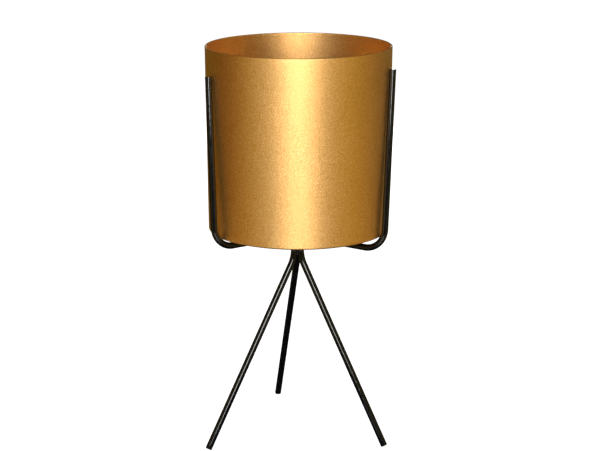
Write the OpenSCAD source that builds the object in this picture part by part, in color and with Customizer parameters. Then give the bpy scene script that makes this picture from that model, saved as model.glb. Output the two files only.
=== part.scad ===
// A straight-sided sheet-metal pot held in a stand of three bent round rods.
// Each rod is one piece: it rises from its foot as a leg, straightens where the three rods
// are welded together, turns out below the pot as an arm, and turns up round the pot's
// bottom edge as a prong. The pot is free to lift out between the prongs.
// Millimetres, +Z up. The origin is on the floor, on the pot's axis; -Y is the front.

/* [Pot] */
// Outer diameter of the pot at its rim
pot_top_d = 230; // [180:1:320]
// How much smaller the pot's radius is at the bottom than at the rim
pot_taper = 2.25; // [0:0.25:12]
// Height of the pot from its underside to its rim
pot_h = 230; // [150:1:320]
// Thickness of the sheet that the pot is made of
sheet_t = 1; // [0.6:0.1:1.5]
// Outer radius of the pot's rounded bottom edge
edge_r = 2.5; // [2:0.25:5]
// Width of the flange turned in under the pot's base
flange_w = 7; // [6:0.5:14]
// Height of the rim's hem, where the sheet is folded in on itself and pressed flat
hem_h = 4.5; // [3:0.1:8]
// Height of the pot's underside above the floor
pot_z = 269.5; // [200:0.5:420]

/* [Rods] */
// Diameter of the round rods, with their coat of paint
rod_d = 8.3; // [5:0.1:11]
// How far the rods' welded middle stands to the right of the pot's axis
hub_x = -1.5; // [-3:0.5:3]
// Centre-line radius of the bend at each knee, where the leg starts to splay
knee_bend_r = 40; // [24:1:60]
// Height of the pot's underside above the knees
knee_drop = 28.5; // [27:0.5:48]
// Centre-line radius of the bend from the weld into the arm
arm_bend_r = 12; // [9:0.5:14]
// Centre-line radius of the corner bend from the arm into the prong
corner_bend_r = 25; // [20:1:34]
// Chamfer round each cut end of a rod
end_chamfer = 0.5; // [0.2:0.1:1]
// Depth of the flat that lets each slanted foot stand on the floor
foot_flat = 0.6; // [0.3:0.1:1.2]

/* [Left rod] */
// Direction of the left arm's corner, round the pot's axis from +X
left_prong_turn = 214.5; // [200:0.5:222]
// Angle by which the left prong leans round the pot, clockwise seen from above
left_sway = 5.5; // [-8:0.5:8]
// Gap between the left prong's tip and the pot's wall
left_tip_gap = 0.6; // [0.3:0.1:6]
// Depth of the left prong's tip below the rim
left_tip_drop = 31; // [5:0.5:120]
// Gap between the left arm's outer end and the level of the pot's underside
left_arm_gap = 4.8; // [4.5:0.1:11]
// Angle by which the left arm droops towards its corner
left_droop = 0.5; // [0:0.5:3]
// Direction of the left foot, round the pot's axis from +X
left_foot_turn = 213; // [200:0.5:225]
// Distance of the left foot from the pot's axis, where its centre line meets the floor
left_foot_r = 135.5; // [90:0.5:220]

/* [Right rod] */
// Direction of the right arm's corner, round the pot's axis from +X
right_prong_turn = 331; // [318:0.5:340]
// Angle by which the right prong leans round the pot, clockwise seen from above
right_sway = -6; // [-8:0.5:8]
// Gap between the right prong's tip and the pot's wall
right_tip_gap = 0.5; // [0.3:0.1:6]
// Depth of the right prong's tip below the rim
right_tip_drop = 24; // [5:0.5:120]
// Gap between the right arm's outer end and the level of the pot's underside
right_arm_gap = 10; // [5:0.1:13]
// Angle by which the right arm droops towards its corner
right_droop = 2.5; // [0:0.5:5]
// Direction of the right foot, round the pot's axis from +X
right_foot_turn = 330; // [315:0.5:340]
// Distance of the right foot from the pot's axis, where its centre line meets the floor
right_foot_r = 125; // [90:0.5:220]

/* [Back rod] */
// Direction of the back arm's corner, round the pot's axis from +X
back_prong_turn = 91.5; // [78:0.5:104]
// Angle by which the back prong leans round the pot, clockwise seen from above
back_sway = 0; // [-8:0.5:8]
// Gap between the back prong's tip and the pot's wall
back_tip_gap = 0.6; // [0.3:0.1:6]
// Depth of the back prong's tip below the rim
back_tip_drop = 26; // [5:0.5:120]
// Gap between the back arm's outer end and the level of the pot's underside
back_arm_gap = 7.5; // [5:0.1:13]
// Angle by which the back arm droops towards its corner
back_droop = 1.5; // [0:0.5:4]
// Direction of the back foot, round the pot's axis from +X
back_foot_turn = 102; // [78:0.5:104]
// Distance of the back foot from the pot's axis, where its centre line meets the floor
back_foot_r = 137; // [90:0.5:220]

/* [Welds] */
// Length of each weld between two rods
weld_len = 8; // [6:0.5:10]

/* [Fits] */
// Gap between the pot's bottom edge and each corner bend that it sits in
seat_gap = 0.3; // [0.2:0.05:0.6]
// Gap between two rods where they lie side by side at the welds
rod_gap = 0.1; // [0.05:0.05:0.5]
// Gap round the base where it lies in the wall's rounded edge
base_gap = 0.1; // [0.05:0.05:0.4]

/* [Hidden] */
$fn = 96;
gold = [0.79, 0.58, 0.28];
black = [0.04, 0.04, 0.045];

// The pot's outer radii at the rim and just above the rounded bottom edge
rim_r = pot_top_d / 2;
wall_r = rim_r - pot_taper;
rim_z = pot_z + pot_h;
wall_slope = atan(pot_taper / (pot_h - edge_r - sheet_t));
rod_r = rod_d / 2;
// Bending draws a rod a hair thinner. Each straight stretch necks down to that over a short
// length, half of it inside the bend.
neck_len = 1;
bend_thinning = 0.12;
neck_thinning = 0.16;
bend_d = rod_d - bend_thinning;
neck_d = rod_d - neck_thinning;

// Where the rods stand round the axis at the welds: side by side, in a triangle
left_hub_turn = 210;
right_hub_turn = 330;
back_hub_turn = 90;
hub = [hub_x, 0];
hub_r = (rod_d + rod_gap) / sqrt(3);
knee_z = pot_z - knee_drop;
// A weld is a bead whose face stands a little proud of the two rods beside it
weld_r = 0.45 * rod_r;
weld_proud = 0.2;
weld_axis_r = hub_r / 2 + rod_r + weld_proud - weld_r;
weld_z = knee_z - weld_len / 4;

// A point in plan, from its distance and its direction round the axis
function plan(radius, turn) = radius * [cos(turn), sin(turn)];

// Direction in plan from one point to another
function heading(from, to) = atan2(to.y - from.y, to.x - from.x);

// The corner bend holds the pot's rounded edge inside it, one seat_gap away. Its centre lies
// corner_rise above the edge's centre, and as far from the axis as that leaves room for.
function arm_end_z(arm_gap) = pot_z - arm_gap - rod_r;
function corner_z(arm_gap, droop) = arm_end_z(arm_gap) + corner_bend_r * cos(droop);
function corner_rise(arm_gap, droop) = corner_z(arm_gap, droop) - pot_z - edge_r;
seat_r = corner_bend_r - rod_r - edge_r - seat_gap;
function corner_axis_r(arm_gap, droop) =
    wall_r - edge_r - sqrt(seat_r * seat_r - pow(corner_rise(arm_gap, droop), 2));

// Distance from the pot's axis to a prong's tip, which lies one tip_gap off the wall
function tip_axis_r(tip_z, tip_gap) =
    wall_r + (tip_z - pot_z - edge_r) * tan(wall_slope) + (rod_r + tip_gap) / cos(wall_slope);

// Lean of the prong in its plane: it leaves the corner bend at a tangent and meets the tip
function prong_lean(corner, tip) =
    acos(corner_bend_r / norm(tip - corner)) - atan2(tip.y - corner.y, tip.x - corner.x);

// Angle between a leg and the vertical: the leg leaves its knee bend at a tangent, and its
// centre line meets the floor at the distance reach from the rod's upright stretch
function leg_run(reach) =
    sqrt(pow(reach - knee_bend_r, 2) + knee_z * knee_z - knee_bend_r * knee_bend_r);
function leg_angle(reach) =
    atan2(-knee_z, reach - knee_bend_r) + 180 - atan2(leg_run(reach), knee_bend_r);

// Straight stretch of rod that starts at a bend, along +Z from the origin: it ends with a
// taper of its own length and end diameter, which is a neck or a chamfer
module stretch(straight, taper_len, taper_d) {
    translate([0, 0, -neck_len / 2])
        cylinder(h = neck_len, d1 = neck_d, d2 = rod_d);
    translate([0, 0, neck_len / 2]) {
        cylinder(h = straight, d = rod_d);
        translate([0, 0, straight])
            cylinder(h = taper_len, d1 = rod_d, d2 = taper_d);
    }
}

// Places a stretch that starts along +Z between two points of the rod's upright plane
module along(from, to) {
    run = to - from;
    translate([from.x, 0, from.y])
        rotate([0, atan2(run.x, run.y), 0])
            children();
}

// Straight stretch of rod between two bends
module bar(from, to) {
    along(from, to)
        stretch(norm(to - from) - neck_len, neck_len, neck_d);
}

// Straight stretch from a bend to the rod's end, which is cut square and chamfered
module end_bar(from, to) {
    along(from, to)
        stretch(norm(to - from) - neck_len / 2 - end_chamfer, end_chamfer,
                rod_d - 2 * end_chamfer);
}

// Bend of the rod in its upright plane, about a centre, from one angle on through a sweep
module bend(centre, radius, from_angle, sweep) {
    translate([centre.x, 0, centre.y])
        rotate([90, 0, 0])
            rotate([0, 0, from_angle])
                rotate_extrude(angle = sweep)
                    translate([radius, 0])
                        circle(d = bend_d);
}

// Upper half of a rod: out from the weld as an arm, then up round the pot's edge as a prong.
// The corner bend's centre lies at the distance corner_x from the rod's upright stretch, and
// the pot's axis at [axis_x, axis_y] from it, measured along and across the rod's plane. The
// corner and the prong sway together about the arm's own line. What the tip reaches after the
// sway is worked back to its place in the rod's plane.
module arm_and_prong(corner_x, axis_x, axis_y, sway, tip_gap, tip_drop, arm_gap, droop) {
    corner = [corner_x, corner_z(arm_gap, droop)];
    arm_end = [corner_x - corner_bend_r * sin(droop), arm_end_z(arm_gap)];
    arm_start_x = arm_bend_r * (1 + sin(droop));
    arm_start_z = arm_end.y + (arm_end.x - arm_start_x) * tan(droop);
    bend_z = arm_start_z - arm_bend_r * cos(droop);

    tip_z = rim_z - tip_drop;
    tip_up = tip_z - arm_end.y;
    tip_y = -(tip_up * cos(droop) + corner_bend_r * sin(droop)) * tan(sway);
    tip_x = axis_x + sqrt(pow(tip_axis_r(tip_z, tip_gap), 2) - pow(tip_y - axis_y, 2));
    tip_out = tip_x - arm_end.x;
    tip_along = tip_out * cos(droop) - tip_up * sin(droop);
    tip_above = (tip_up * cos(droop) + tip_out * sin(droop)) / cos(sway);
    tip = arm_end + tip_along * [cos(droop), -sin(droop)] + tip_above * [sin(droop), cos(droop)];
    lean = prong_lean(corner, tip);
    prong_start = corner + corner_bend_r * [cos(lean), -sin(lean)];

    bar([0, knee_z], [0, bend_z]);
    bend([arm_bend_r, bend_z], arm_bend_r, 90 - droop, 90 + droop);
    bar([arm_start_x, arm_start_z], arm_end);
    translate([arm_end.x, 0, arm_end.y])
        rotate(a = sway, v = [cos(droop), 0, -sin(droop)])
            translate([-arm_end.x, 0, -arm_end.y]) {
                bend(corner, corner_bend_r, 270 - droop, 90 + droop - lean);
                end_bar(prong_start, tip);
            }
}

// Lower half of a rod: down from the weld, out through the knee and straight to its foot,
// which is cut square to the rod and has a small flat where it meets the floor
module leg(reach) {
    angle = leg_angle(reach);
    run = [sin(angle), -cos(angle)];
    leg_start = [knee_bend_r * (1 - cos(angle)), knee_z - knee_bend_r * sin(angle)];
    end_z = (rod_r - end_chamfer) * sin(angle) - foot_flat;
    leg_end = leg_start + run * (leg_start.y - end_z) / cos(angle);

    difference() {
        union() {
            bend([knee_bend_r, knee_z], knee_bend_r, 180, angle);
            end_bar(leg_start, leg_end);
        }
        translate([leg_end.x - rod_d, -rod_d, -rod_d])
            cube([2 * rod_d, 2 * rod_d, rod_d]);
    }
}

// One whole rod, from its foot to its tip
module bent_rod(hub_turn, prong_turn, sway, tip_gap, tip_drop, arm_gap, droop,
                foot_turn, foot_r) {
    upright = hub + plan(hub_r, hub_turn);
    corner = plan(corner_axis_r(arm_gap, droop), prong_turn);
    foot = plan(foot_r, foot_turn);
    out = (corner - upright) / norm(corner - upright);
    across = [-out.y, out.x];
    translate([upright.x, upright.y, 0]) {
        rotate([0, 0, heading(upright, corner)])
            arm_and_prong(norm(corner - upright), -upright * out, -upright * across,
                          sway, tip_gap, tip_drop, arm_gap, droop);
        rotate([0, 0, heading(upright, foot)])
            leg(norm(foot - upright));
    }
}

module left_rod() {
    bent_rod(left_hub_turn, left_prong_turn, left_sway, left_tip_gap, left_tip_drop,
             left_arm_gap, left_droop, left_foot_turn, left_foot_r);
}

module right_rod() {
    bent_rod(right_hub_turn, right_prong_turn, right_sway, right_tip_gap, right_tip_drop,
             right_arm_gap, right_droop, right_foot_turn, right_foot_r);
}

module back_rod() {
    bent_rod(back_hub_turn, back_prong_turn, back_sway, back_tip_gap, back_tip_drop,
             back_arm_gap, back_droop, back_foot_turn, back_foot_r);
}

// Weld bead that fills the groove between two rods and follows their surfaces
module weld(turn) {
    centre = hub + plan(weld_axis_r, turn);
    difference() {
        translate([centre.x, centre.y, weld_z]) {
            cylinder(h = weld_len, r = weld_r);
            sphere(r = weld_r);
            translate([0, 0, weld_len])
                sphere(r = weld_r);
        }
        children();
    }
}

// Half section of the wall: the turned-in flange, the rounded edge, the wall and the hem,
// whose fold is rounded on top
module wall_section() {
    translate([wall_r - flange_w, 0])
        square([flange_w - edge_r, sheet_t]);
    translate([wall_r - edge_r, edge_r])
        intersection() {
            difference() {
                circle(r = edge_r);
                circle(r = edge_r - sheet_t);
            }
            translate([0, -edge_r])
                square(edge_r);
        }
    polygon([[wall_r - sheet_t, edge_r], [wall_r, edge_r],
             [rim_r, pot_h - sheet_t], [rim_r - sheet_t, pot_h - sheet_t]]);
    translate([rim_r - 2 * sheet_t, pot_h - hem_h])
        square([sheet_t, hem_h - sheet_t]);
    translate([rim_r - sheet_t, pot_h - sheet_t])
        circle(r = sheet_t);
}

module pot_wall() {
    color(gold)
        translate([0, 0, pot_z])
            rotate_extrude()
                wall_section();
}

// Round base that lies on the wall's flange
module pot_base() {
    color(gold)
        translate([0, 0, pot_z + sheet_t])
            cylinder(h = sheet_t, r = wall_r - edge_r - base_gap);
}

module rod_left() {
    color(black)
        left_rod();
}

module rod_right() {
    color(black)
        right_rod();
}

module rod_back() {
    color(black)
        back_rod();
}

module weld_front() {
    color(black)
        weld((left_hub_turn + right_hub_turn) / 2) {
            left_rod();
            right_rod();
        }
}

module weld_left() {
    color(black)
        weld((left_hub_turn + back_hub_turn) / 2) {
            left_rod();
            back_rod();
        }
}

module weld_right() {
    color(black)
        weld((right_hub_turn - 360 + back_hub_turn) / 2) {
            right_rod();
            back_rod();
        }
}

pot_wall();
pot_base();
rod_left();
rod_right();
rod_back();
weld_front();
weld_left();
weld_right();
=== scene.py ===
# A gold pot with a hemmed rim in a stand of three bent black rods: the looks around the CAD
import math

import bmesh
import bpy
from mathutils import Matrix, Vector, noise


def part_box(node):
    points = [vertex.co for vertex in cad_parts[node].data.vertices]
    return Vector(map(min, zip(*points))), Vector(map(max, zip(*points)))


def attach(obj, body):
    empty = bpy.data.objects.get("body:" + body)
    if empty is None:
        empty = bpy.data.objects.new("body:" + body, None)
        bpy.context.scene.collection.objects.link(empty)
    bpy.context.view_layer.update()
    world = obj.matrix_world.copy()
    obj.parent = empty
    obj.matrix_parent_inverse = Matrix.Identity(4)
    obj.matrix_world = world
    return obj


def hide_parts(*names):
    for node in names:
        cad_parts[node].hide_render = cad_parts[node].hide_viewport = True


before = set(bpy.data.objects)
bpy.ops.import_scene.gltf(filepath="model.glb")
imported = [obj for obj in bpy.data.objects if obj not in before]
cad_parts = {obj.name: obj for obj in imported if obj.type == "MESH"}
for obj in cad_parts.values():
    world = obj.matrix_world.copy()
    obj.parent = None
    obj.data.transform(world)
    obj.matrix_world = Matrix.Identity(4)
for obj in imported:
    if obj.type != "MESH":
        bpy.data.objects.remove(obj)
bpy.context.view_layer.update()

# Sizes in metres.
WALL_LOW, WALL_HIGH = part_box("pot_wall")
BASE_LOW, BASE_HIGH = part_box("pot_base")
POT_Z = WALL_LOW.z
RIM_Z = WALL_HIGH.z
RIM_R = WALL_HIGH.x
BASE_R = BASE_HIGH.x
SHEET = BASE_LOW.z - POT_Z
TAPER = 0.00225
WALL_R = RIM_R - TAPER
EDGE_R = 0.0025
FLANGE_W = 0.007
HEM_H = 0.0045
SOFT_EDGE = 0.15 * SHEET
HEM_LOOPS = (8 * SOFT_EDGE, 2 * SOFT_EDGE, SOFT_EDGE)

ROD_R = 0.00415
ROD_GAP = 0.0001
SEAT_GAP = 0.0003
HUB = Vector((-0.0015, 0))
HUB_R = (2 * ROD_R + ROD_GAP) / math.sqrt(3)
KNEE_DROP = 0.0285
KNEE_Z = POT_Z - KNEE_DROP
KNEE_BEND_R = 0.040
ARM_BEND_R = 0.012
CORNER_BEND_R = 0.025
END_ROUND = 0.0005
FOOT_FLAT = 0.0006
WALL_SLOPE = math.atan(TAPER / (RIM_Z - POT_Z - EDGE_R - SHEET))

WELD_LEN = 0.008
WELD_R = 0.45 * ROD_R
WELD_PROUD = 0.0002
WELD_AXIS_R = HUB_R / 2 + ROD_R + WELD_PROUD - WELD_R
WELD_Z = KNEE_Z - WELD_LEN / 4

# Each rod's angles in degrees, its turns counted round the pot's axis from +X, and its lengths
RODS = {
    "rod_left": {"hub": 210, "prong": 214.5, "sway": 5.5, "tip_gap": 0.0006, "tip_drop": 0.031,
                 "arm_gap": 0.0048, "droop": 0.5, "foot": 213, "foot_r": 0.1355},
    "rod_right": {"hub": 330, "prong": 331, "sway": -6.0, "tip_gap": 0.0005, "tip_drop": 0.024,
                  "arm_gap": 0.0100, "droop": 2.5, "foot": 330, "foot_r": 0.1250},
    "rod_back": {"hub": 90, "prong": 91.5, "sway": 0.0, "tip_gap": 0.0006, "tip_drop": 0.026,
                 "arm_gap": 0.0075, "droop": 1.5, "foot": 102, "foot_r": 0.1370},
}
WELDS = {"weld_front": 270, "weld_left": 150, "weld_right": 30}

# How finely the pieces are divided
ROUND_STEPS = 256
WALL_ROWS = 48
OUTER_EDGE_STEPS = 12
INNER_EDGE_STEPS = 10
FOLD_STEPS = 24
BASE_RINGS = 12
ROD_SIDES = 32
ROD_STEP = 0.0025
KNEE_STEPS = 14
ARM_STEPS = 18
CORNER_STEPS = 24
END_STEPS = 4
BEAD_SIDES = 24
BEAD_ROWS = 28
MERGE_DIST = 1e-6

# Unevenness of the rods' coat and the weld beads: lumps to a metre, their height, how deep the
# surface lies without them, and how far apart in the noise the pieces are
COAT_SCALE = 260
COAT_LUMP = 0.00004
COAT_DIP = 0.00002
COAT_SHIFT = 10.0
BEAD_SCALE = 900
BEAD_LUMP = 0.00012
BEAD_DIP = 0.0001
BEAD_SHIFT = 7.0
RIPPLE_DEPTH = 0.06
RIPPLE_PITCH = 0.0017
RIPPLE_TILT = 0.0004

# Colours and roughness of the gold and of the paint, by how strong the noise is
GOLD_STOPS = ((0.32, (0.70, 0.36, 0.09)), (0.5, (0.87, 0.49, 0.17)), (0.70, (0.98, 0.68, 0.32)))
GOLD_ROUGH = (0.33, 0.51)
GOLD_CLOUD = 0.02
PAINT_STOPS = ((0.35, (0.0012, 0.0012, 0.0014)), (0.7, (0.004, 0.004, 0.0045)))
PAINT_ROUGH = (0.07, 0.12)
NOISE_LOW = 0.3
NOISE_HIGH = 0.7

CAMERA_PLACE = (0, -2.0505, 0.7912)
CAMERA_DOWN = 14.22
CAMERA_TURN = -0.048
CAMERA_LENS = 100.98

LAMP_Y = 2.2
WORLD_LIGHT = 0.25
FLOOR_HALF = 9.0
FLOOR_COLOUR = (0.88, 0.88, 0.88)
FLOOR_LIFT = 0.85

# Glow of the side cards, by degrees from the front, on the left and on the right
LEFT_GLOW = ((30, (0.62, 0.58, 0.28)), (42, (0.50, 0.46, 0.20)), (62, (0.32, 0.19, 0.01)),
             (90, (0.14, 0.05, 0.00)), (130, (0.11, 0.08, 0.00)), (168, (0.09, 0.06, 0.01)))
RIGHT_GLOW = ((30, (0.56, 0.48, 0.24)), (42, (0.46, 0.38, 0.14)), (62, (0.46, 0.35, 0.02)),
              (90, (0.28, 0.19, 0.09)), (130, (0.13, 0.11, 0.04)), (168, (0.10, 0.09, 0.03)))
FRONT_GLOW = (0.05, 0.05, 0.05)
CEILING_GLOW = (0.10, 0.10, 0.10)
BACK_GLOW = (0.04, 0.04, 0.04)
SIDE_CARD_R = 0.8
SIDE_CARD_STEPS = 46
CARD_LOW = -0.01
CARD_TOP = 2.0
FLAG_HALF = 1.4
FLAG_Y = 2.4

# The floor card: its rings, and where its bright strip, its warm sides and its dark back lie
FLOOR_DARK = (0.02, 0.02, 0.02)
FLOOR_STRIP_GLOW = (3.5, 3.5, 3.5)
FLOOR_SIDE_GLOW = (0.50, 0.34, 0.10)
FLOOR_RINGS = (0.0, 0.1, 0.2, 0.3, 0.4, 0.5, 0.65, 0.8, 0.95, 1.05, 1.2, 2.0, 6.0)
FLOOR_CARD_STEPS = 120
FLOOR_CARD_Z = 0.001
STRIP_NEAR = 0.3
STRIP_FAR = 1.05
STRIP_EDGE = 0.1
STRIP_TURN = 8
SIDE_NEAR = 0.2
SIDE_EDGE = 0.3
SIDE_TURN = 24
TURN_EDGE = 12
BACK_TURN = 100
BACK_EDGE = 50


def plan(radius, turn):
    """A point on the floor's plane, from its distance and its turn in degrees"""
    a = math.radians(turn)
    return Vector((radius * math.cos(a), radius * math.sin(a)))


def arc_points(centre, radius, start, end, steps):
    """Points round an arc, from one angle to another in radians"""
    out = []
    for i in range(steps + 1):
        a = start + (end - start) * i / steps
        out.append(Vector((centre[0] + radius * math.cos(a), centre[1] + radius * math.sin(a))))
    return out


def line_points(start, end, step):
    """Points along a straight line about a step apart, without the two ends"""
    n = max(1, round((end - start).length / step))
    return [start.lerp(end, i / n) for i in range(1, n)]


def lower_half(upright, foot):
    """The leg's centre line in its own plane, from the foot's end up to the knee"""
    reach = (foot - upright).length
    run = math.sqrt((reach - KNEE_BEND_R) ** 2 + KNEE_Z ** 2 - KNEE_BEND_R ** 2)
    angle = math.atan2(-KNEE_Z, reach - KNEE_BEND_R) + math.pi - math.atan2(run, KNEE_BEND_R)
    knee = arc_points((KNEE_BEND_R, KNEE_Z), KNEE_BEND_R, math.pi, math.pi + angle, KNEE_STEPS)
    end_z = (ROD_R - END_ROUND) * math.sin(angle) - FOOT_FLAT
    along = (knee[-1].y - end_z) / math.cos(angle)
    end = knee[-1] + along * Vector((math.sin(angle), -math.cos(angle)))
    return [end] + line_points(end, knee[-1], ROD_STEP) + knee[::-1]


def upper_half(corner_x, axis, rod):
    """The arm's and the prong's centre line from the weld to the tip, with x along the rod's
    plane, y across it and z up. The corner and the prong sway about the arm's own line."""
    droop = math.radians(rod["droop"])
    sway = math.radians(rod["sway"])
    arm_way = Vector((math.cos(droop), -math.sin(droop)))
    arm_up = Vector((math.sin(droop), math.cos(droop)))
    arm_end_z = POT_Z - rod["arm_gap"] - ROD_R
    arm_end = Vector((corner_x - CORNER_BEND_R * math.sin(droop), arm_end_z))
    corner = Vector((corner_x, arm_end_z + CORNER_BEND_R * math.cos(droop)))
    arm_start_x = ARM_BEND_R * (1 + math.sin(droop))
    arm_start_z = arm_end_z + (arm_end.x - arm_start_x) * math.tan(droop)
    bend_z = arm_start_z - ARM_BEND_R * math.cos(droop)
    bend = arc_points((ARM_BEND_R, bend_z), ARM_BEND_R, math.pi, math.pi / 2 - droop, ARM_STEPS)

    tip_z = RIM_Z - rod["tip_drop"]
    tip_up = tip_z - arm_end_z
    tip_y = -(tip_up * math.cos(droop) + CORNER_BEND_R * math.sin(droop)) * math.tan(sway)
    tip_r = (WALL_R + (tip_z - POT_Z - EDGE_R) * math.tan(WALL_SLOPE)
             + (ROD_R + rod["tip_gap"]) / math.cos(WALL_SLOPE))
    tip_x = axis.x + math.sqrt(tip_r ** 2 - (tip_y - axis.y) ** 2)
    reached = Vector((tip_x - arm_end.x, tip_up))
    tip = arm_end + arm_way * reached.dot(arm_way) + arm_up * reached.dot(arm_up) / math.cos(sway)
    span = tip - corner
    lean = math.acos(CORNER_BEND_R / span.length) - math.atan2(span.y, span.x)
    bow = arc_points(corner, CORNER_BEND_R, -math.pi / 2 - droop, -lean, CORNER_STEPS)

    arm = (line_points(Vector((0, KNEE_Z)), bend[0], ROD_STEP) + bend
           + line_points(bend[-1], bow[0], ROD_STEP))
    prong = bow + line_points(bow[-1], tip, ROD_STEP) + [tip]
    turn = Matrix.Rotation(sway, 3, Vector((arm_way.x, 0, arm_way.y)))
    pivot = Vector((arm_end.x, 0, arm_end.y))
    return ([Vector((p.x, 0, p.y)) for p in arm]
            + [pivot + turn @ (Vector((p.x, 0, p.y)) - pivot) for p in prong])


def rod_route(rod):
    """One rod's centre line, from its foot to its tip"""
    seat_r = CORNER_BEND_R - ROD_R - EDGE_R - SEAT_GAP
    droop = math.radians(rod["droop"])
    rise = CORNER_BEND_R * math.cos(droop) - rod["arm_gap"] - ROD_R - EDGE_R
    corner_r = WALL_R - EDGE_R - math.sqrt(seat_r ** 2 - rise ** 2)
    upright = HUB + plan(HUB_R, rod["hub"])
    corner = plan(corner_r, rod["prong"])
    foot = plan(rod["foot_r"], rod["foot"])
    way = (corner - upright).normalized()
    across = Vector((-way.y, way.x))
    axis = Vector((-upright.dot(way), -upright.dot(across)))
    foot_way = (foot - upright).normalized()
    route = []
    for p in lower_half(upright, foot):
        out = upright + foot_way * p.x
        route.append(Vector((out.x, out.y, p.y)))
    for p in upper_half((corner - upright).length, axis, rod):
        out = upright + way * p.x + across * p.y
        route.append(Vector((out.x, out.y, p.z)))
    return route


def link(name, mesh, smooth=True):
    """Makes an object of a mesh and puts it in the scene"""
    piece = bpy.data.objects.new(name, mesh)
    bpy.context.scene.collection.objects.link(piece)
    for face in mesh.polygons:
        face.use_smooth = smooth
    return piece


def skin(bm, loops):
    """Faces between each ring of points and the next, where a ring may be a single point"""
    for a, b in zip(loops, loops[1:]):
        count = max(len(a), len(b))
        for k in range(count):
            m = (k + 1) % count
            quad = (a[k % len(a)], a[m % len(a)], b[m % len(b)], b[k % len(b)])
            bm.faces.new([v for i, v in enumerate(quad) if v not in quad[:i]])


def finish_mesh(name, bm):
    """Turns the faces outward and makes an object of them"""
    bmesh.ops.recalc_face_normals(bm, faces=bm.faces)
    mesh = bpy.data.meshes.new(name)
    bm.to_mesh(mesh)
    bm.free()
    return link(name, mesh)


def dress(piece, node, body, material):
    """Gives a piece its material, and puts it on its body in place of its CAD node"""
    piece.data.materials.append(material)
    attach(piece, body)
    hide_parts(node)


def ring_frames(route):
    """Two directions across the route and one along it at each of its points, turned as little
    as may be from point to point"""
    frames = []
    side = None
    for i in range(len(route)):
        ahead = route[min(i + 1, len(route) - 1)]
        behind = route[max(i - 1, 0)]
        tangent = (ahead - behind).normalized()
        if side is None:
            side = tangent.cross(Vector((0, 0, 1))).normalized()
        side = (side - tangent * side.dot(tangent)).normalized()
        frames.append((side, tangent.cross(side).normalized(), tangent))
    return frames


def rod_rings(route):
    """The middle, the radius and the two directions of each ring of a rod, its ends rounded"""
    rings = []
    last = len(route) - 1
    for i, (point, (side, up, tangent)) in enumerate(zip(route, ring_frames(route))):
        if i in (0, last):
            out = -tangent if i == 0 else tangent
            lips = []
            for k in range(END_STEPS + 1):
                a = math.pi / 2 * k / END_STEPS
                lips.append((point - out * END_ROUND * (1 - math.sin(a)),
                             ROD_R - END_ROUND * (1 - math.cos(a))))
            rings += [(p, r, side, up) for p, r in (lips[::-1] if i == 0 else lips)]
        else:
            rings.append((point, ROD_R, side, up))
    return rings


def rod_piece(name, route, shift):
    """Round bar swept along its route, with a coat that is a little uneven and flat ends"""
    bm = bmesh.new()
    loops = []
    for point, radius, side, up in rod_rings(route):
        loop = []
        for k in range(ROD_SIDES):
            a = 2 * math.pi * k / ROD_SIDES
            across = side * math.cos(a) + up * math.sin(a)
            place = point + across * radius
            lump = noise.noise(place * COAT_SCALE + Vector((shift, 0, 0)))
            place += across * (lump * COAT_LUMP - COAT_DIP)
            place.z = max(place.z, 0.0)
            loop.append(bm.verts.new(place))
        loops.append(loop)
    skin(bm, loops)
    bm.faces.new(loops[0][::-1])
    bm.faces.new(loops[-1])
    piece = finish_mesh(name, bm)
    for face in piece.data.polygons:
        if len(face.vertices) > 4:
            face.use_smooth = False
    return piece


def lathe_piece(name, profile):
    """Turns a profile of (radius, height) points round the pot's axis"""
    bm = bmesh.new()
    loops = []
    for r, z in profile:
        loop = []
        for k in range(ROUND_STEPS if r > 0 else 1):
            a = 2 * math.pi * k / ROUND_STEPS
            loop.append(bm.verts.new((r * math.cos(a), r * math.sin(a), z)))
        loops.append(loop)
    # A profile that doesn't start on the axis is joined up to its own start
    skin(bm, loops if len(loops[0]) == 1 else loops + loops[:1])
    return finish_mesh(name, bm)


def wall_profile():
    """The wall's section: flange, rounded edge, outer face, hem with its fold on top, inner face"""
    hole_r = WALL_R - FLANGE_W
    edge = (WALL_R - EDGE_R, POT_Z + EDGE_R)
    fold = Vector((RIM_R - SHEET, RIM_Z - SHEET))
    hem_r = RIM_R - 2 * SHEET
    hem_z = RIM_Z - HEM_H
    out = [Vector((hole_r, POT_Z + SHEET - SOFT_EDGE)), Vector((hole_r, POT_Z + SOFT_EDGE)),
           Vector((hole_r + SOFT_EDGE, POT_Z))]
    out += arc_points(edge, EDGE_R, -math.pi / 2, 0, OUTER_EDGE_STEPS)
    outer_low = out[-1]
    outer_high = Vector((RIM_R, fold.y))
    out += [outer_low.lerp(outer_high, i / WALL_ROWS) for i in range(1, WALL_ROWS)]
    out += arc_points(fold, SHEET, 0, math.pi, FOLD_STEPS)
    out += [Vector((hem_r, hem_z + up)) for up in HEM_LOOPS]
    out.append(Vector((hem_r + SOFT_EDGE, hem_z)))
    inner_high = Vector((RIM_R - SHEET - math.tan(WALL_SLOPE) * (fold.y - hem_z), hem_z))
    inner_low = Vector((WALL_R - SHEET, POT_Z + EDGE_R))
    out += [inner_high - Vector((SOFT_EDGE, 0)), inner_high, inner_high - Vector((0, SOFT_EDGE))]
    out += [inner_high.lerp(inner_low, i / WALL_ROWS) for i in range(1, WALL_ROWS)]
    out += arc_points(edge, EDGE_R - SHEET, 0, -math.pi / 2, INNER_EDGE_STEPS)
    out.append(Vector((hole_r + SOFT_EDGE, POT_Z + SHEET)))
    return out


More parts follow.
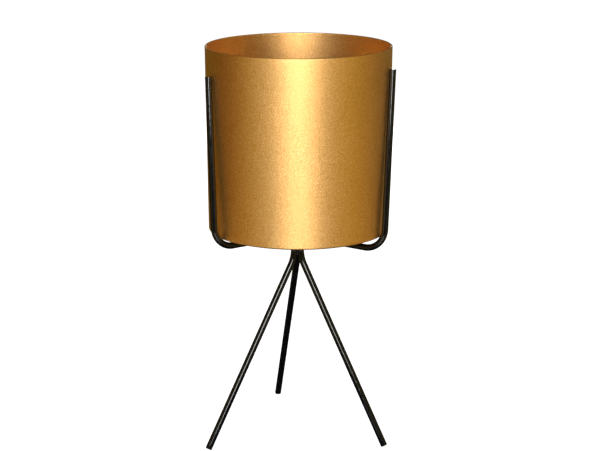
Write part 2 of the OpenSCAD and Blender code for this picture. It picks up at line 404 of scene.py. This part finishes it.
def base_profile():
    """The base's section: a flat disc with softened edges"""
    low, high = BASE_LOW.z, BASE_HIGH.z
    rings = [i * BASE_R / BASE_RINGS for i in range(BASE_RINGS)]
    return ([Vector((r, low)) for r in rings]
            + [Vector((BASE_R - SOFT_EDGE, low)), Vector((BASE_R, low + SOFT_EDGE)),
               Vector((BASE_R, high - SOFT_EDGE)), Vector((BASE_R - SOFT_EDGE, high))]
            + [Vector((r, high)) for r in rings[::-1]])


def bead_rows():
    """The radius and the height of a weld bead's rows, with the ripples that a torch leaves"""
    rows = []
    for i in range(BEAD_ROWS + 1):
        t = i / BEAD_ROWS
        z = -WELD_R + (WELD_LEN + 2 * WELD_R) * t
        past = max(-z, z - WELD_LEN, 0.0)
        radius = math.sqrt(max(WELD_R ** 2 - past ** 2, 0.0))
        radius *= 1 - RIPPLE_DEPTH * (0.5 + 0.5 * math.cos(2 * math.pi * z / RIPPLE_PITCH))
        rows.append((radius, z))
    return rows


def bead_piece(name, turn, shift):
    """A lumpy weld bead in the groove between two rods, at a turn round the stand's middle"""
    centre = HUB + plan(WELD_AXIS_R, turn)
    bm = bmesh.new()
    loops = []
    for radius, z in bead_rows():
        loop = []
        for k in range(BEAD_SIDES):
            a = 2 * math.pi * k / BEAD_SIDES
            tilt = RIPPLE_TILT * math.cos(a - math.radians(turn))
            place = Vector((centre.x + radius * math.cos(a),
                            centre.y + radius * math.sin(a), WELD_Z + z + tilt))
            lump = noise.noise(place * BEAD_SCALE + Vector((shift, 0, 0)))
            push = Vector((math.cos(a), math.sin(a), 0)) * (lump * BEAD_LUMP - BEAD_DIP)
            loop.append(bm.verts.new(place + push * min(1.0, radius / WELD_R)))
        loops.append(loop)
    skin(bm, loops)
    bmesh.ops.remove_doubles(bm, verts=bm.verts, dist=MERGE_DIST)
    bmesh.ops.holes_fill(bm, edges=bm.edges)
    return finish_mesh(name, bm)


def make_pot():
    """The pot's wall and base"""
    wall = lathe_piece("gold_wall", wall_profile())
    base = lathe_piece("gold_base", base_profile())
    for piece, node in ((wall, "pot_wall"), (base, "pot_base")):
        dress(piece, node, "pot", gold_metal("satin_gold_" + node))


def make_stand():
    """The three rods and the weld beads between them"""
    paint = black_paint("gloss_black")
    for i, (node, rod) in enumerate(RODS.items()):
        piece = rod_piece("bent_" + node, rod_route(rod), COAT_SHIFT * i)
        dress(piece, node, "stand", paint)
    for i, (node, turn) in enumerate(WELDS.items()):
        piece = bead_piece("bead_" + node, turn, BEAD_SHIFT * i)
        dress(piece, node, "stand", paint)


def new_material(name):
    """A new material with its node tree and its shader"""
    material = bpy.data.materials.new(name)
    material.use_nodes = True
    tree = material.node_tree
    return material, tree, tree.nodes["Principled BSDF"]


def noise_field(tree, coords, scale, detail, rough):
    """Noise in the piece's own coordinates"""
    field = tree.nodes.new("ShaderNodeTexNoise")
    field.inputs["Scale"].default_value = scale
    field.inputs["Detail"].default_value = detail
    field.inputs["Roughness"].default_value = rough
    tree.links.new(coords.outputs["Object"], field.inputs["Vector"])
    return field.outputs["Fac"]


def spread(tree, source, low, high):
    """Spreads noise over a range of values"""
    node = tree.nodes.new("ShaderNodeMapRange")
    node.inputs["From Min"].default_value = NOISE_LOW
    node.inputs["From Max"].default_value = NOISE_HIGH
    node.inputs["To Min"].default_value = low
    node.inputs["To Max"].default_value = high
    tree.links.new(source, node.inputs["Value"])
    return node.outputs["Result"]


def ramp_colour(tree, source, stops):
    """A colour between stops, chosen by noise"""
    node = tree.nodes.new("ShaderNodeValToRGB")
    ramp = node.color_ramp
    while len(ramp.elements) < len(stops):
        ramp.elements.new(0.5)
    for element, (place, colour) in zip(ramp.elements, stops):
        element.position = place
        element.color = (*colour, 1)
    tree.links.new(source, node.inputs["Fac"])
    return node.outputs["Color"]


def add_bump(tree, shader, height, strength, distance):
    """Lets noise raise and lower the surface a little"""
    bump = tree.nodes.new("ShaderNodeBump")
    bump.inputs["Strength"].default_value = strength
    bump.inputs["Distance"].default_value = distance
    tree.links.new(height, bump.inputs["Height"])
    tree.links.new(bump.outputs["Normal"], shader.inputs["Normal"])


def gold_metal(name):
    """Satin gold metal with a fine sparkling grain"""
    material, tree, shader = new_material(name)
    coords = tree.nodes.new("ShaderNodeTexCoord")
    grain = noise_field(tree, coords, scale=760, detail=3.0, rough=0.65)
    cloud = noise_field(tree, coords, scale=14, detail=2.0, rough=0.5)
    tree.links.new(ramp_colour(tree, grain, GOLD_STOPS), shader.inputs["Base Color"])
    rough = tree.nodes.new("ShaderNodeMath")
    rough.operation = "ADD"
    tree.links.new(spread(tree, grain, *GOLD_ROUGH), rough.inputs[0])
    tree.links.new(spread(tree, cloud, -GOLD_CLOUD, GOLD_CLOUD), rough.inputs[1])
    tree.links.new(rough.outputs[0], shader.inputs["Roughness"])
    add_bump(tree, shader, grain, strength=1.0, distance=0.0003)
    shader.inputs["Metallic"].default_value = 1.0
    return material


def black_paint(name):
    """Glossy black paint over steel bar, a little bumpy"""
    material, tree, shader = new_material(name)
    coords = tree.nodes.new("ShaderNodeTexCoord")
    peel = noise_field(tree, coords, scale=420, detail=2.0, rough=0.5)
    dust = noise_field(tree, coords, scale=90, detail=3.0, rough=0.6)
    tree.links.new(ramp_colour(tree, dust, PAINT_STOPS), shader.inputs["Base Color"])
    tree.links.new(spread(tree, dust, *PAINT_ROUGH), shader.inputs["Roughness"])
    add_bump(tree, shader, peel, strength=0.3, distance=0.0001)
    shader.inputs["Specular IOR Level"].default_value = 0.38
    return material


def make_camera():
    """The photograph's viewpoint, a good two metres in front and looking a little down"""
    data = bpy.data.cameras.new("camera")
    data.lens = CAMERA_LENS
    data.sensor_width = 36
    data.clip_start = 0.05
    data.clip_end = 50
    camera = bpy.data.objects.new("camera", data)
    camera.location = CAMERA_PLACE
    camera.rotation_euler = (math.radians(90 - CAMERA_DOWN), 0, math.radians(CAMERA_TURN))
    bpy.context.scene.collection.objects.link(camera)
    bpy.context.scene.camera = camera


def add_lamp(name, place, aim, width, height, power):
    """A white rectangular soft lamp that points at a place"""
    data = bpy.data.lights.new(name, "AREA")
    data.shape = "RECTANGLE"
    data.size = width
    data.size_y = height
    data.energy = power
    lamp = bpy.data.objects.new(name, data)
    lamp.location = place
    way = (Vector(aim) - Vector(place)).normalized()
    lamp.rotation_euler = way.to_track_quat("-Z", "Y").to_euler()
    bpy.context.scene.collection.objects.link(lamp)
    return lamp


def make_lights():
    """A bright soft box over the camera, weaker ones under it and behind, a wide one overhead"""
    add_lamp("key", (0, -LAMP_Y, 1.08), (0, 0, 1.08), width=0.8, height=0.42, power=27)
    add_lamp("lower", (0, -LAMP_Y, 0.655), (0, 0, 0.655), width=0.42, height=0.43, power=14)
    back = add_lamp("back", (0, LAMP_Y, 0.5), (0, 0, 0.4), width=0.6, height=0.3, power=6)
    back.visible_camera = False
    add_lamp("top", (0, -0.2, 2.4), (0, 0, 0.2), width=2.2, height=2.2, power=3)


def seen_or_mirrored(tree):
    """1 for rays from the camera and rays that metal or glass sends on, otherwise 0"""
    path = tree.nodes.new("ShaderNodeLightPath")
    total = path.outputs["Is Camera Ray"]
    for name in ("Is Glossy Ray", "Is Transmission Ray"):
        larger = tree.nodes.new("ShaderNodeMath")
        larger.operation = "MAXIMUM"
        tree.links.new(total, larger.inputs[0])
        tree.links.new(path.outputs[name], larger.inputs[1])
        total = larger.outputs[0]
    return total


def make_world():
    """White studio surroundings, at full strength where they are seen or mirrored"""
    world = bpy.data.worlds.new("studio")
    bpy.context.scene.world = world
    world.use_nodes = True
    tree = world.node_tree
    background = tree.nodes["Background"]
    background.inputs["Color"].default_value = (1, 1, 1, 1)
    strength = tree.nodes.new("ShaderNodeMapRange")
    strength.inputs["To Min"].default_value = WORLD_LIGHT
    strength.inputs["To Max"].default_value = 1.0
    tree.links.new(seen_or_mirrored(tree), strength.inputs["Value"])
    tree.links.new(strength.outputs["Result"], background.inputs["Strength"])


def make_floor():
    """Plain pale floor that keeps a soft shadow and is otherwise white to the camera"""
    mesh = bpy.data.meshes.new("floor")
    half = FLOOR_HALF
    mesh.from_pydata([(-half, -half, 0), (half, -half, 0), (half, half, 0), (-half, half, 0)],
                     [], [(0, 1, 2, 3)])
    floor = link("floor", mesh, smooth=False)
    material, tree, shader = new_material("pale_floor")
    shader.inputs["Base Color"].default_value = (*FLOOR_COLOUR, 1)
    shader.inputs["Roughness"].default_value = 0.9
    shader.inputs["Specular IOR Level"].default_value = 0.0
    shader.inputs["Emission Color"].default_value = (1, 1, 1, 1)
    lift = tree.nodes.new("ShaderNodeMath")
    lift.operation = "MULTIPLY"
    lift.inputs[1].default_value = FLOOR_LIFT
    tree.links.new(seen_or_mirrored(tree), lift.inputs[0])
    tree.links.new(lift.outputs[0], shader.inputs["Emission Strength"])
    mesh.materials.append(material)


def blend(low, high, t):
    """A colour between two, for t from 0 to 1"""
    return [p + (q - p) * min(1.0, max(0.0, t)) for p, q in zip(low, high)]


def glow_at(stops, turn):
    """The colour at a turn, between the stops on either side of it"""
    for (a, low), (b, high) in zip(stops, stops[1:]):
        if turn <= b:
            return blend(low, high, (turn - a) / (b - a))
    return stops[-1][1]


def add_card(name, verts, faces, glows):
    """A card with a glow of its own at each corner, which only mirrored light meets"""
    mesh = bpy.data.meshes.new(name)
    mesh.from_pydata(verts, [], faces)
    colours = mesh.color_attributes.new("glow", "FLOAT_COLOR", "POINT")
    for item, colour in zip(colours.data, glows):
        item.color = (*colour, 1)
    card = link(name, mesh, smooth=False)
    material = bpy.data.materials.new(name)
    material.use_nodes = True
    tree = material.node_tree
    tree.nodes.clear()
    colour = tree.nodes.new("ShaderNodeAttribute")
    colour.attribute_name = "glow"
    glow = tree.nodes.new("ShaderNodeEmission")
    tree.links.new(colour.outputs["Color"], glow.inputs["Color"])
    out = tree.nodes.new("ShaderNodeOutputMaterial")
    tree.links.new(glow.outputs[0], out.inputs["Surface"])
    mesh.materials.append(material)
    card.visible_camera = False
    card.visible_diffuse = False
    card.visible_shadow = False
    card.visible_transmission = False


def make_side_cards():
    """Warm dim cards that stand round the sides of the studio"""
    for side, name, stops in ((-1, "card_left", LEFT_GLOW), (1, "card_right", RIGHT_GLOW)):
        verts, faces, glows = [], [], []
        for i in range(SIDE_CARD_STEPS + 1):
            turn = stops[0][0] + (stops[-1][0] - stops[0][0]) * i / SIDE_CARD_STEPS
            a = math.radians(turn)
            x, y = side * SIDE_CARD_R * math.sin(a), -SIDE_CARD_R * math.cos(a)
            verts += [(x, y, CARD_LOW), (x, y, CARD_TOP)]
            glows += [glow_at(stops, turn)] * 2
            if i:
                k = 2 * i
                faces.append((k - 2, k, k + 1, k - 1))
        add_card(name, verts, faces, glows)


def floor_glow(r, turn):
    """The floor card's colour at a distance from the middle and at a turn from the front"""
    strip = min((r - STRIP_NEAR) / STRIP_EDGE, (STRIP_FAR - r) / STRIP_EDGE)
    front = blend(FLOOR_DARK, FLOOR_STRIP_GLOW, strip)
    front = blend(front, FLOOR_DARK, (turn - STRIP_TURN) / TURN_EDGE)
    side = blend(FLOOR_DARK, FLOOR_SIDE_GLOW, (r - SIDE_NEAR) / SIDE_EDGE)
    side = blend(side, FLOOR_DARK, (turn - BACK_TURN) / BACK_EDGE)
    return blend(front, side, (turn - SIDE_TURN) / TURN_EDGE)


def make_floor_card():
    """A dim card on the floor, dark under the stand and far away, with a bright strip in front"""
    verts, faces, glows = [], [], []
    steps = FLOOR_CARD_STEPS
    for r in FLOOR_RINGS:
        for k in range(steps):
            a = 2 * math.pi * k / steps
            verts.append((r * math.sin(a), -r * math.cos(a), FLOOR_CARD_Z))
            glows.append(floor_glow(r, 180 * (1 - abs(2 * k / steps - 1))))
    for i in range(len(FLOOR_RINGS) - 1):
        for k in range(steps):
            m = (k + 1) % steps
            faces.append((i * steps + k, i * steps + m, (i + 1) * steps + m, (i + 1) * steps + k))
    add_card("card_floor", verts, faces, glows)


def make_flags():
    """Dim cards that hide the white surroundings behind the lamps, and the top lamp overhead"""
    half, y, low, top = FLAG_HALF, FLAG_Y, CARD_LOW, CARD_TOP
    flags = (
        ("card_back", BACK_GLOW, ((-half, y, low), (half, y, low), (half, y, top), (-half, y, top))),
        ("card_front", FRONT_GLOW,
         ((-half, -y, low), (half, -y, low), (half, -y, top), (-half, -y, top))),
        ("card_ceiling", CEILING_GLOW,
         ((-half, -y, top), (half, -y, top), (half, y, top), (-half, y, top))),
    )
    for name, glow, corners in flags:
        add_card(name, corners, [(0, 1, 2, 3)], [glow] * 4)


def main():
    bpy.context.scene.view_settings.view_transform = "Standard"
    make_camera()
    make_world()
    make_floor()
    make_lights()
    make_side_cards()
    make_floor_card()
    make_flags()
    make_pot()
    make_stand()


main()
